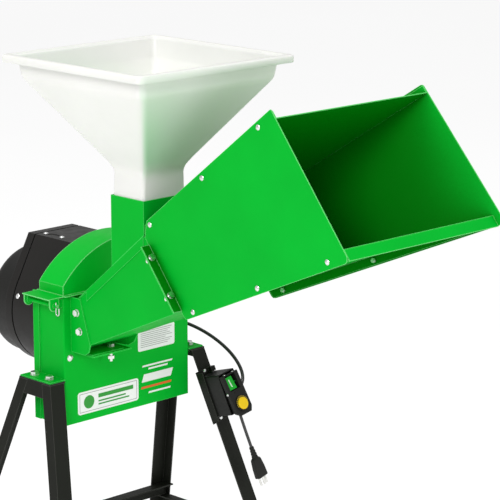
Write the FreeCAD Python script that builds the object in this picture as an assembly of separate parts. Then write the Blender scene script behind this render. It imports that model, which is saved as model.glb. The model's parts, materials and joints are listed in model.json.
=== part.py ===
import FreeCAD, Part
import math
import os

# Hammer mill on a folded-steel stand, with a motor behind it, a flared feed chute in front
# and a lift-off grain funnel on top.  Millimetres, +Z up, the ground at Z = 0.
# Pieces are drawn about the rotor: X across the mill, -Y towards the chute's mouth, Z up
# from the rotor's axis.  put() then moves them so that the origin is at the bottom centre.

V = FreeCAD.Vector
MODEL_ORIGIN = V(0, 239, 600)  # rotor axis at the front panel, seen from the model's origin

# Stand
AXIS_HEIGHT = 600
RAIL_TOP = -100
RAIL_X = 228
RAIL_FRONT = -5
RAIL_BACK = 100
RAIL_WIDTH = 42
STAND_SHEET = 3
SPLAY_X = 0.18
SPLAY_Y = 0.30
LEG_FRONT_FACE = 39
LEG_SIDE_FACE = 28
RAIL_WEB = 30
FOOT_PLATE = 4
FOOT_HOLE_R = 5.5

# Lower housing and hood
HALF_WIDTH = 183
DEPTH = 80
HOUSING_SHEET = 3
HOUSING_BOTTOM = -203
SPLIT = 87
HOOD_R = 235
HOOD_CENTRE_Z = -38
HOOD_SHEET = 2
PIN_X = -211
PIN_Z = 73
PIN_R = 4
RUNNING_FIT = 0.06
KNOB_X = 203
KNOB_Y = 40

# Feed duct: a straight left wall, and a right wall that flares at a constant rate.
# Its flange plane holds the line P(t) and is square to the duct's axis.
DUCT_SHEET = 2
DUCT_LEFT = -160
DUCT_RIGHT_AT_FLANGE = 90
FLARE = 0.392
FLANGE_Y = -351
FLANGE_Z = 116
AXIS_SLOPE = math.radians(38.5)
FLANGE_TALL = 181
FLANGE_WIDE = 24
PLATE_BELOW = 21
PLATE_ABOVE = 20
CHUTE_LENGTH = 483
MOUTH_DROP = 151
MOUTH_RAKE = 15
CHUTE_SCREWS = (0.055, 0.468, 0.89)
LIP = 27
THROAT_BOTTOM_Z = -40
THROAT_TOP_Z = 65

# Sleeve and grain funnel
SLEEVE_LEFT = -162
SLEEVE_RIGHT = -38
SLEEVE_FRONT = -238
SLEEVE_BACK = -136
SLEEVE_TOP = 329
LEDGE_Z = 288
FUNNEL_X = -100
FUNNEL_Y = -187
FUNNEL_RIM = 218
FUNNEL_RIM_TOP = 624
FUNNEL_WALL = 3

# Rotor
KNIFE_DISC_R = 138
HAMMER_DISC_R = 112
HAMMER_PIN_R = 6
HAMMER_PIN_PLACE = 92
HAMMER_REACH = 60
SHAFT_R = 12
SIEVE_R = 160

# Motor
MOTOR_R = 136
MOTOR_ROOF_Z = 170
MOTOR_ROOF_HALF = 64
MOTOR_SEAM = 233
SEAM_GAP = 5
MOTOR_BACK = 260
FAN_COVER_END = 345
LEAD_START = (124.6, 150, -50)

made = {}


def put(name, shape):
    """Move a finished piece from the rotor's frame to the model's and write its STEP file."""
    shape = shape.copy()
    shape.translate(MODEL_ORIGIN)
    made[name] = shape
    shape.exportStep("parts/" + name + ".step")


def box(x0, x1, y0, y1, z0, z1):
    return Part.makeBox(x1 - x0, y1 - y0, z1 - z0, V(x0, y0, z0))


def rod(r, base, axis, length):
    return Part.makeCylinder(r, length, V(*base), V(*axis))


def ring(r_out, r_in, base, axis, length):
    return rod(r_out, base, axis, length).cut(rod(r_in, base, axis, length))


def slab(points, push):
    """Flat plate: a closed outline, swept by one vector."""
    corners = [V(*p) for p in points]
    wire = Part.makePolygon(corners + [corners[0]])
    return Part.Face(wire).extrude(V(*push))


def hexagon(across_flats, base, axis, length):
    """Hexagonal head or nut with its axis along X, Y or Z."""
    r = across_flats / math.sqrt(3)
    axis = V(*axis)
    side = V(0, 0, 1) if abs(axis.z) < 0.5 else V(1, 0, 0)
    other = axis.cross(side)
    corners = []
    for k in range(6):
        a = math.radians(60 * k)
        corners.append(V(*base) + side * (r * math.cos(a)) + other * (r * math.sin(a)))
    return Part.Face(Part.makePolygon(corners + [corners[0]])).extrude(axis * length)


def bolt(r, head_base, axis, grip, tail=4):
    """Hex bolt with washer: the head stands on head_base, the shank runs against axis."""
    a = V(*axis)
    base = V(*head_base)
    washer = rod(2.1 * r, base, a, 0.3 * r)
    head = hexagon(3.3 * r, base + a * (0.3 * r), a, 1.3 * r)
    shank = rod(r, base - a * (grip + tail), a, grip + tail)
    return washer.fuse([head, shank]).removeSplitter()


def nut(r, face, axis):
    """Hex nut with washer whose far side looks along axis; its bore clears the shank."""
    a = V(*axis)
    base = V(*face)
    solid = rod(2.1 * r, base, a, 0.3 * r).fuse(hexagon(3.3 * r, base + a * (0.3 * r), a, 1.5 * r))
    return solid.cut(rod(r + 0.05, base - a, a, 3 * r)).removeSplitter()


def pan_screw(r, head_base, axis, length):
    """Pan-head screw with a shallow domed head."""
    a = V(*axis).normalize()
    base = V(*head_base)
    dome_r = 2.6 * r
    dome = Part.makeSphere(dome_r, base - a * (dome_r * 0.66))
    head = dome.common(rod(2.1 * r, base, a, 2 * r))
    return head.fuse(rod(r, base - a * length, a, length)).removeSplitter()


def drill(shape, r, spots, axis, reach=60):
    """Round holes of one size along one direction."""
    a = V(*axis).normalize()
    tools = [rod(r, V(*p) - a * reach, a, 2 * reach) for p in spots]
    return shape.cut(tools)


def group(shapes):
    return Part.makeCompound(shapes)


def mirror_x(shape):
    return shape.mirror(V(0, 0, 0), V(1, 0, 0))


def mirror_y(shape, y):
    return shape.mirror(V(0, y, 0), V(0, 1, 0))


# ---------------------------------------------------------------- duct geometry

AXIS_Y = -math.cos(AXIS_SLOPE)
AXIS_Z = math.sin(AXIS_SLOPE)


def duct(s, t):
    """Point (y, z) of the side view: s along the duct's axis from the flange plane, t across it."""
    y = FLANGE_Y + s * AXIS_Y + t * AXIS_Z
    z = FLANGE_Z + s * AXIS_Z - t * AXIS_Y
    return y, z


def along(y, z):
    """Distance s of a side-view point from the flange plane."""
    return (y - FLANGE_Y) * AXIS_Y + (z - FLANGE_Z) * AXIS_Z


FLARE_NORMAL = (1, -FLARE * AXIS_Y, -FLARE * AXIS_Z)


def right_x(y, z):
    """Inner face of the flared right wall."""
    return DUCT_RIGHT_AT_FLANGE + FLARE * along(y, z)


def side_plate(outline, x, push):
    return slab([(x, y, z) for y, z in outline], (push, 0, 0))


def flared_plate(outline, gap, push):
    return slab([(right_x(y, z) + gap, y, z) for y, z in outline], (push, 0, 0))


def cross_plate(near, far, push, inset=0.0):
    """Plate across the duct between two side-view points, from the left wall to the right one."""
    corners = [(DUCT_LEFT + inset, *near), (right_x(*near) - inset, *near)]
    corners += [(right_x(*far) - inset, *far), (DUCT_LEFT + inset, *far)]
    return slab(corners, (0, *push))


def flange_strip(x0, x1, s0, s1, t0=0.0, t1=FLANGE_TALL):
    corners = [(x0, *duct(s0, t0)), (x1, *duct(s0, t0)), (x1, *duct(s0, t1)), (x0, *duct(s0, t1))]
    return slab(corners, (0, (s1 - s0) * AXIS_Y, (s1 - s0) * AXIS_Z))


def axis_rod(r, x, s0, s1, t):
    """Rod along the duct's axis."""
    y, z = duct(s0, t)
    return rod(r, (x, y, z), (0, AXIS_Y, AXIS_Z), s1 - s0)


# ---------------------------------------------------------------- stand

def leg(side, back):
    """Splayed leg of folded angle, from under the rail to its foot plate."""
    top = RAIL_TOP - STAND_SHEET
    drop = top + AXIS_HEIGHT - FOOT_PLATE
    x = -RAIL_X
    y = RAIL_FRONT
    profile = [(x, y, top), (x + LEG_FRONT_FACE, y, top), (x + LEG_FRONT_FACE, y + STAND_SHEET, top)]
    profile += [(x + STAND_SHEET, y + STAND_SHEET, top), (x + STAND_SHEET, y + LEG_SIDE_FACE, top)]
    profile += [(x, y + LEG_SIDE_FACE, top)]
    shape = slab(profile, (-SPLAY_X * drop, -SPLAY_Y * drop, -drop))
    foot_x = x - SPLAY_X * drop + 16
    foot_y = y - SPLAY_Y * drop + 14
    low = -AXIS_HEIGHT
    foot = box(foot_x - 30, foot_x + 42, foot_y - 20, foot_y + 40, low, low + FOOT_PLATE)
    foot = foot.cut(rod(FOOT_HOLE_R, (foot_x + 26, foot_y + 24, low - 1), (0, 0, 1), 9))
    if back:
        shape = mirror_y(shape, (RAIL_FRONT + RAIL_BACK) / 2)
        foot = mirror_y(foot, (RAIL_FRONT + RAIL_BACK) / 2)
    if side > 0:
        shape = mirror_x(shape)
        foot = mirror_x(foot)
    return shape, foot


def stand_rail():
    """Left top rail: a flat under the housing's foot, and a web in the plane of the legs."""
    flat = box(-RAIL_X, -RAIL_X + RAIL_WIDTH, RAIL_FRONT, RAIL_BACK, RAIL_TOP - STAND_SHEET, RAIL_TOP)
    top = RAIL_TOP - STAND_SHEET
    low = top - RAIL_WEB
    out = SPLAY_X * RAIL_WEB
    back = SPLAY_Y * RAIL_WEB
    y0 = RAIL_FRONT + LEG_SIDE_FACE
    y1 = RAIL_BACK - LEG_SIDE_FACE
    corners = [(-RAIL_X, y0, top), (-RAIL_X, y1, top)]
    corners += [(-RAIL_X - out, y1 + back, low), (-RAIL_X - out, y0 - back, low)]
    web = slab(corners, (STAND_SHEET, 0, 0))
    return drill(flat.fuse(web).removeSplitter(), 5.3, FOOT_BOLTS_LEFT, (0, 0, 1), 20)


FOOT_BOLTS_LEFT = [(-206, 24, RAIL_TOP), (-206, 74, RAIL_TOP)]
FOOT_BOLTS_RIGHT = [(206, 24, RAIL_TOP), (206, 74, RAIL_TOP)]
FOOT_TAB = 3


def build_stand():
    legs = []
    feet = []
    for side in (-1, 1):
        for back in (False, True):
            shape, foot = leg(side, back)
            legs.append(shape)
            feet.append(foot)
    put("stand_legs", group(legs))
    put("stand_foot_plates", group(feet))
    rail = stand_rail()
    put("stand_rails", group([rail, mirror_x(rail)]))
    rear = box(-300, 300, 205, 208, -520, -490).fuse(box(-300, 300, 180, 205, -493, -490))
    limit = box(-298, 298, 100, 300, -600, -400)
    rear = trim_between(rear.common(limit), legs)
    side = box(-304, -301, -140, 240, -552, -522).fuse(box(-301, -279, -140, 240, -525, -522))
    side = trim_between(side, legs)
    put("stand_braces", group([rear, side, mirror_x(side)]))
    fasteners = []
    for x, y, z in FOOT_BOLTS_LEFT + FOOT_BOLTS_RIGHT:
        fasteners.append(bolt(5, (x, y, RAIL_TOP + FOOT_TAB), (0, 0, 1), 6, 9))
        fasteners.append(nut(5, (x, y, RAIL_TOP - STAND_SHEET), (0, 0, -1)))
    return fasteners


def trim_between(brace, legs):
    """Cut a brace to the legs and keep the middle, so that its ends meet them."""
    rest = brace.cut(legs)
    return max(rest.Solids, key=lambda solid: solid.Volume)


# ---------------------------------------------------------------- housing

FEED_OPENING = [(-156, -37), (-60, -37), (-35, 58), (-156, 58)]
PANEL_BOLT = (-166, 0, -52)


def build_housing(stand_fasteners):
    t = HOUSING_SHEET
    w = HALF_WIDTH
    low = HOUSING_BOTTOM
    outer = box(-w, w, 0, DEPTH, low, SPLIT)
    upright = [e for e in outer.Edges if e.Length > 250 and e.CenterOfMass.y < 1]
    front_corners = [e for e in upright if abs(abs(e.CenterOfMass.x) - w) < 1]
    outer = outer.makeFillet(t, front_corners)
    shell = outer.cut(box(-w + t, w - t, t, DEPTH + 1, low - 1, SPLIT + 1))
    shell = shell.cut(slab([(x, -1, z) for x, z in FEED_OPENING], (0, t + 2, 0)))
    shell = drill(shell, 5.2, [PANEL_BOLT], (0, 1, 0), 10)
    ledge = box(SIEVE_R + 3, w - t, t, 77, -6, 0)
    shell = shell.fuse([ledge, mirror_x(ledge)]).removeSplitter()
    put("housing_shell", shell)
    flange = 16
    back = box(-w - t, w + t, DEPTH, DEPTH + t, low, SPLIT)
    for side in (-1, 1):
        x0 = -w - t if side < 0 else w
        back = back.fuse(box(x0, x0 + t, DEPTH + t, DEPTH + t + flange, low, SPLIT))
    back = back.removeSplitter().cut(rod(24, (0, DEPTH - 1, 0), (0, 1, 0), 10))
    back = drill(back, 4.3, MOTOR_BOLTS, (0, 1, 0), 12)
    put("housing_back_plate", back)
    tab = box(-226, -w - t, -2, 99, RAIL_TOP, RAIL_TOP + FOOT_TAB)
    tab = tab.fuse(box(-w - t, -w, -2, DEPTH, RAIL_TOP, RAIL_TOP + FOOT_TAB)).removeSplitter()
    tab = drill(tab, 5.3, FOOT_BOLTS_LEFT, (0, 0, 1), 20)
    put("housing_feet", group([tab, mirror_x(tab)]))
    carriage = Part.makeSphere(12, V(PANEL_BOLT[0], 9, PANEL_BOLT[2]))
    carriage = carriage.common(box(-200, -100, -9, 0, -90, 0))
    carriage = carriage.fuse(rod(5, (PANEL_BOLT[0], 0, PANEL_BOLT[2]), (0, 1, 0), 14)).removeSplitter()
    panel_nut = nut(5, (PANEL_BOLT[0], t, PANEL_BOLT[2]), (0, 1, 0))
    put("frame_bolts", group(stand_fasteners + [carriage, panel_nut]))
    put("sieve_screen", sieve())
    put("label_plates", group([label_plate(-147, 30, -187, -136, 7), label_plate(30, 140, -77, -26, 5)]))


def label_plate(x0, x1, z0, z1, r):
    plate = box(x0, x1, -0.6, 0, z0, z1)
    edges = [e for e in plate.Edges if abs(e.tangentAt(e.FirstParameter).y) > 0.9]
    return plate.makeFillet(r, edges)


def sieve():
    """Half-round perforated screen with a flat lip each side."""
    thick = 2
    full = ring(SIEVE_R + thick, SIEVE_R, (0, 22, 0), (0, 1, 0), 54)
    half = full.common(box(-200, 200, 0, 90, -200, 0))
    lip = box(SIEVE_R, 178, 22, 76, 0, thick)
    half = half.fuse([lip, mirror_x(lip)])
    tools = []
    for row in range(4):
        for k in range(17):
            a = math.radians(188 + 10.25 * k)
            axis = (math.cos(a), 0, math.sin(a))
            base = (axis[0] * (SIEVE_R - 4), 29 + 13.3 * row, axis[2] * (SIEVE_R - 4))
            tools.append(rod(4, base, axis, 12))
    return half.cut(tools)


# ---------------------------------------------------------------- hood

def hood_outline(inset):
    """Side-wall, arc, side-wall profile in the XZ plane, closed along the split."""
    w = HALF_WIDTH - inset
    r = HOOD_R - inset
    shoulder = HOOD_CENTRE_Z + math.sqrt(r * r - w * w)
    low = SPLIT
    arc = Part.Arc(V(-w, 0, shoulder), V(0, 0, HOOD_CENTRE_Z + r), V(w, 0, shoulder)).toShape()
    left = Part.makeLine(V(-w, 0, low), V(-w, 0, shoulder))
    right = Part.makeLine(V(w, 0, shoulder), V(w, 0, low))
    base = Part.makeLine(V(w, 0, low), V(-w, 0, low))
    return Part.Face(Part.Wire([left, arc, right, base]))


EAR_Y = ((-4, -1), (81, 84))
LUG_Y = ((1, 4), (76, 79))


def ear(y0, y1, x0, x1, top, bore):
    """Plate round the hinge pin with a rounded lower end."""
    body = box(x0, x1, y0, y1, PIN_Z, top)
    round_end = rod((x1 - x0) / 2, ((x0 + x1) / 2, y0, PIN_Z), (0, 1, 0), y1 - y0)
    hole = rod(bore, (PIN_X, y0 - 1, PIN_Z), (0, 1, 0), y1 - y0 + 2)
    return body.fuse(round_end).removeSplitter().cut(hole)


def build_hood():
    s = HOOD_SHEET
    w = HALF_WIDTH
    solid = hood_outline(0).extrude(V(0, DEPTH, 0))
    hollow = hood_outline(s).extrude(V(0, DEPTH - 2 * s, 0))
    hollow.translate(V(0, s, 0))
    shell = solid.cut(hollow).cut(box(-w + s, w - s, s, DEPTH - s, SPLIT - 1, SPLIT + 5))
    lips = [box(-w, w, -9, 0, SPLIT, SPLIT + s)]
    lips += [box(x0, x1, DEPTH, DEPTH + 9, SPLIT, SPLIT + s) for x0, x1 in ((-w, -112), (112, w))]
    tab = box(-RAIL_X, -w, -4, 84, SPLIT, SPLIT + s)
    latch_tab = box(w, w + 33, KNOB_Y - 20, KNOB_Y + 20, SPLIT, SPLIT + s)
    ears = [ear(y0, y1, PIN_X - 13, PIN_X + 13, SPLIT, PIN_R + RUNNING_FIT) for y0, y1 in EAR_Y]
    hood = shell.fuse(lips + [tab, latch_tab] + ears).removeSplitter()
    hood = drill(hood, 5.6, [(KNOB_X, KNOB_Y, SPLIT)], (0, 0, 1), 12)
    put("hood", hood)
    lugs = [ear(y0, y1, PIN_X - 9, PIN_X + 9, SPLIT - 4, PIN_R + 0.02) for y0, y1 in LUG_Y]
    bridges = [box(PIN_X + 8, -w, y0, y1, PIN_Z - 9, SPLIT - 4) for y0, y1 in LUG_Y]
    lugs = [a.fuse(b).removeSplitter() for a, b in zip(lugs, bridges)]
    lugs = [a.cut(rod(PIN_R + 0.02, (PIN_X, -5, PIN_Z), (0, 1, 0), 100)) for a in lugs]
    put("hinge_lugs", group(lugs))
    pin = rod(PIN_R, (PIN_X, -14, PIN_Z), (0, 1, 0), 102)
    pin = pin.fuse(rod(7, (PIN_X, 86, PIN_Z), (0, 1, 0), 3)).removeSplitter()
    pin = pin.cut(rod(1.3, (PIN_X, -9, PIN_Z - 20), (0, 0, 1), 40))
    put("hinge_pin", group([pin, r_clip(PIN_X, -9, PIN_Z)]))
    keeper = box(w, w + 33, KNOB_Y - 18, KNOB_Y + 18, SPLIT - 7, SPLIT - 4)
    keeper = keeper.fuse(box(w, w + 3, KNOB_Y - 18, KNOB_Y + 18, SPLIT - 36, SPLIT - 7)).removeSplitter()
    keeper = drill(keeper, 7, [(KNOB_X, KNOB_Y, SPLIT)], (0, 0, 1), 20)
    socket = hexagon(19, (KNOB_X, KNOB_Y, SPLIT - 17), (0, 0, 1), 10)
    socket = drill(socket, 6.2, [(KNOB_X, KNOB_Y, SPLIT)], (0, 0, 1), 30)
    put("latch_keeper", keeper.fuse(socket).removeSplitter())
    put("latch_knob", knob())


def r_clip(x, y, z):
    """Spring clip: a straight leg through the pin and a sprung leg beside it, in the YZ plane."""
    r = 1.2
    low = z - 15
    high = z + 8
    bend_r = 5
    leg_line = Part.makeLine(V(x, y, high), V(x, y, low))
    bend = Part.Arc(V(x, y, low), V(x, y - bend_r, low - bend_r), V(x, y - 2 * bend_r, low)).toShape()
    back = Part.makeLine(V(x, y - 2 * bend_r, low), V(x, y - 2 * bend_r, z - 3))
    path = Part.Wire([leg_line, bend, back])
    section = Part.Wire([Part.makeCircle(r, V(x, y, high), V(0, 0, 1))])
    return path.makePipeShell([section], True, False)


def knob():
    """Clamping knob: five soft lobes on a boss, with its threaded stud below."""
    z = SPLIT + HOOD_SHEET
    boss = rod(11, (KNOB_X, KNOB_Y, z), (0, 0, 1), 10)
    grip = rod(14, (KNOB_X, KNOB_Y, z + 10), (0, 0, 1), 14)
    for k in range(5):
        a = math.radians(72 * k)
        lobe = (KNOB_X + 12 * math.cos(a), KNOB_Y + 12 * math.sin(a), z + 10)
        grip = grip.fuse(rod(6.5, lobe, (0, 0, 1), 14))
    grip = grip.removeSplitter()
    rims = [e for e in grip.Edges if e.CenterOfMass.z > z + 23.9]
    grip = grip.makeFillet(2, rims)
    stud = rod(5, (KNOB_X, KNOB_Y, SPLIT - 24), (0, 0, 1), 24 + HOOD_SHEET + 1)
    return grip.fuse([boss, stud]).removeSplitter()


# ---------------------------------------------------------------- feed throat

def throat_top(y):
    """Outer height of the throat's roof at a given y."""
    y1, z1 = duct(0, FLANGE_TALL)
    return THROAT_TOP_Z + (z1 - THROAT_TOP_Z) * y / y1


def throat_bottom(y):
    return THROAT_BOTTOM_Z + (FLANGE_Z - THROAT_BOTTOM_Z) * y / FLANGE_Y


WALL_BOLTS = [(-21, 52), (-30, 12)]
SHELF_BOLT = (-74, -28, THROAT_BOTTOM_Z)


def build_throat():
    s = DUCT_SHEET
    top_line_front = duct(0, FLANGE_TALL)
    # roof and floor planes are set in by one sheet where they meet the walls
    roof_drop = s / math.cos(math.atan2(top_line_front[1] - THROAT_TOP_Z, -top_line_front[0]))
    floor_rise = s / math.cos(math.atan2(FLANGE_Z - THROAT_BOTTOM_Z, -FLANGE_Y))
    gap = 0.5
    wall = [(-gap, throat_bottom(-gap)), (FLANGE_Y, FLANGE_Z), duct(0, FLANGE_TALL - 3)]
    wall.append((-gap, throat_top(-gap) - roof_drop))
    left = side_plate(wall, DUCT_LEFT, s)
    strip = flange_strip(DUCT_LEFT - FLANGE_WIDE, DUCT_LEFT + s, -s, 0, 0, FLANGE_TALL - 24)
    left = left.fuse(strip).removeSplitter()
    bolts_left = [(DUCT_LEFT, y, z) for y, z in WALL_BOLTS]
    left = drill(left, 4.3, bolts_left, (1, 0, 0), 12)
    left = left.cut([axis_rod(4.3, DUCT_LEFT - 12, -9, 9, t) for t in FLANGE_BOLTS_T])
    left = left.cut(wedge_over_roof())
    right = flared_plate(wall, 0, s)
    x = DUCT_RIGHT_AT_FLANGE
    right = right.fuse(flange_strip(x, x + FLANGE_WIDE + 4, -s, 0, 0, FLANGE_TALL - 24)).removeSplitter()
    bolts_right = [(0, y, z) for y, z in WALL_BOLTS]
    right = drill(right, 4.3, bolts_right, (1, 0, 0), 80)
    right = right.cut([axis_rod(4.3, x + 16, -9, 9, t) for t in FLANGE_BOLTS_T])
    put("throat_walls", group([left, right]))
    # roof: a flat plate with a window under the sleeve and a strip folded down over the left wall
    near = (-gap, throat_top(-gap) - roof_drop)
    far = (top_line_front[0] + 2.5, throat_top(top_line_front[0] + 2.5) - roof_drop)
    corners = [(DUCT_LEFT - s, *near), (right_x(*near) + s, *near)]
    corners += [(right_x(*far) + s, *far), (DUCT_LEFT - s, *far)]
    roof = slab(corners, (0, 0, roof_drop))
    fold = [(y, throat_top(y) - drop) for y, drop in ((-52, 24), (far[0], 24), (far[0], 0), (-52, 0))]
    roof = roof.fuse(side_plate(fold, DUCT_LEFT - s, s)).removeSplitter()
    window = box(SLEEVE_LEFT + 6, SLEEVE_RIGHT - 6, SLEEVE_FRONT + 8, SLEEVE_BACK - 6, 60, 300)
    roof = roof.cut(window)
    fl_near = (-gap, throat_bottom(-gap))
    fl_far = (FLANGE_Y, FLANGE_Z)
    corners = [(DUCT_LEFT + s, *fl_near), (right_x(*fl_near), *fl_near)]
    corners += [(right_x(*fl_far), *fl_far), (DUCT_LEFT + s, *fl_far)]
    floor = slab(corners, (0, 0, floor_rise))
    foot = box(-150, -62, -56, -gap, THROAT_BOTTOM_Z, THROAT_BOTTOM_Z + s)
    above = [(0, -39.9), (-70, throat_bottom(-70)), (-70, 100), (0, 100)]
    foot = foot.cut(slab([(-155, y, z) for y, z in above], (110, 0, 0)))
    floor = floor.fuse(foot).removeSplitter()
    floor = drill(floor, 4.3, [SHELF_BOLT], (0, 0, 1), 2.5)
    floor = floor.common(flared_room())
    put("throat_floor", floor)
    shelf = box(-152, -44, -62, 0, THROAT_BOTTOM_Z - 3, THROAT_BOTTOM_Z)
    shelf = drill(shelf, 4.3, [SHELF_BOLT], (0, 0, 1), 12)
    # the tray's bolt hangs well below it, with a nut under the tray and a lock nut at its end
    fasteners = [bolt(4, (SHELF_BOLT[0], SHELF_BOLT[1], THROAT_BOTTOM_Z + s), (0, 0, 1), s + 3, 28)]
    fasteners.append(nut(4, (SHELF_BOLT[0], SHELF_BOLT[1], THROAT_BOTTOM_Z - 3), (0, 0, -1)))
    fasteners.append(nut(4, (SHELF_BOLT[0], SHELF_BOLT[1], THROAT_BOTTOM_Z - 18), (0, 0, -1)))
    gusset = [(0, 84), (-31, 84), (-63, -14), (-58, -30), (-46, -38), (0, -38)]
    left_bracket = drill(side_plate(gusset, DUCT_LEFT - 3, 3), 4.3, bolts_left, (1, 0, 0), 12)
    right_bracket = flared_plate([(y, min(z, 62)) for y, z in gusset], s, 3)
    right_bracket = drill(right_bracket, 4.3, bolts_right, (1, 0, 0), 80)
    put("throat_roof", roof.cut(left_bracket))
    put("throat_brackets", group([left_bracket, right_bracket, shelf]))
    for y, z in WALL_BOLTS:
        fasteners.append(bolt(4, (DUCT_LEFT - 3, y, z), (-1, 0, 0), 5, 8))
        fasteners.append(nut(4, (DUCT_LEFT + s, y, z), (1, 0, 0)))
    build_sleeve()
    return fasteners


def flared_room():
    """Everything left of the flared wall's inner face, round the throat."""
    outline = [(60, -200), (-500, -200), (-500, 500), (60, 500)]
    corners = [(right_x(y, z), y, z) for y, z in outline]
    return slab(corners, (-900, 0, 0))


def wedge_over_roof():
    """Thin wedge over the roof plane, used to trim flanges that would poke through it."""
    y1, z1 = duct(0, FLANGE_TALL)
    corners = [(-300, 0, THROAT_TOP_Z), (-300, y1, z1), (-300, y1, z1 + 200), (-300, 0, z1 + 200)]
    return slab(corners, (600, 0, 0))


def build_sleeve():
    s = DUCT_SHEET
    tube = box(SLEEVE_LEFT, SLEEVE_RIGHT, SLEEVE_FRONT, SLEEVE_BACK, 150, SLEEVE_TOP)
    x0 = SLEEVE_LEFT + s
    x1 = SLEEVE_RIGHT - s
    tube = tube.cut(box(x0, x1, SLEEVE_FRONT + s, SLEEVE_BACK - s, 140, SLEEVE_TOP + 5))
    slope_end = SLEEVE_FRONT - 20
    side_view = [(0, 0), (0, throat_top(0)), (slope_end, throat_top(slope_end)), (slope_end, 0)]
    below = slab([(-200, y, z) for y, z in side_view], (300, 0, 0))
    tube = tube.cut(below)
    back = box(x0, x1, SLEEVE_BACK - s - 8, SLEEVE_BACK - s, LEDGE_Z - s, LEDGE_Z)
    front = box(x0, x1, SLEEVE_FRONT + s, SLEEVE_FRONT + s + 8, LEDGE_Z - s, LEDGE_Z)
    put("hopper_sleeve", tube.fuse([back, front]).removeSplitter())


# ---------------------------------------------------------------- chute

FLANGE_BOLTS_T = (38, 128)


def rounded_prism(corners, radii, x0, x1):
    """Side-view outline (y, z) with rounded corners, swept across from x0 to x1."""
    points = [V(x0, y, z) for y, z in corners]
    edges = []
    starts = []
    ends = []
    for k, r in enumerate(radii):
        before = (points[k - 1] - points[k]).normalize()
        after = (points[(k + 1) % len(points)] - points[k]).normalize()
        half = before.getAngle(after) / 2
        reach = r / math.tan(half)
        starts.append(points[k] + before * reach)
        ends.append(points[k] + after * reach)
        if r > 0:
            inward = (before + after).normalize()
            mid = points[k] + inward * (r / math.sin(half) - r)
            edges.append((k, Part.Arc(starts[k], mid, ends[k]).toShape()))
    loop = []
    arcs = dict(edges)
    for k in range(len(points)):
        if k in arcs:
            loop.append(arcs[k])
        loop.append(Part.makeLine(ends[k], starts[(k + 1) % len(points)]))
    return Part.Face(Part.Wire(loop)).extrude(V(x1 - x0, 0, 0))


TOP_EDGE_START = duct(0, FLANGE_TALL + PLATE_ABOVE)
MOUTH_TOP = duct(CHUTE_LENGTH, FLANGE_TALL + PLATE_ABOVE - 8)
MOUTH_BOTTOM = duct(CHUTE_LENGTH, -MOUTH_DROP)


def chute_side_corners(rake=0):
    """Side plate's corners: heel, top of the flange plane, shoulder by the sleeve, mouth top and bottom."""
    heel = duct(0, -PLATE_BELOW)
    neck = duct(0, FLANGE_TALL - 6)
    slope = (MOUTH_TOP[1] - TOP_EDGE_START[1]) / (MOUTH_TOP[0] - TOP_EDGE_START[0])
    y = SLEEVE_FRONT - 9
    shoulder = (y, TOP_EDGE_START[1] + slope * (y - TOP_EDGE_START[0]))
    bottom = duct(CHUTE_LENGTH + rake, -MOUTH_DROP)
    return [heel, neck, shoulder, MOUTH_TOP, bottom]


def flared_slab(gap, push):
    """Wide slab in the plane of the flared right wall."""
    outline = [(100, -300), (-1100, -300), (-1100, 900), (100, 900)]
    return slab([(right_x(y, z) + gap, y, z) for y, z in outline], (push, 0, 0))


def offset_in(point, t_step):
    return point[0] + t_step * AXIS_Z, point[1] - t_step * AXIS_Y


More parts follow.
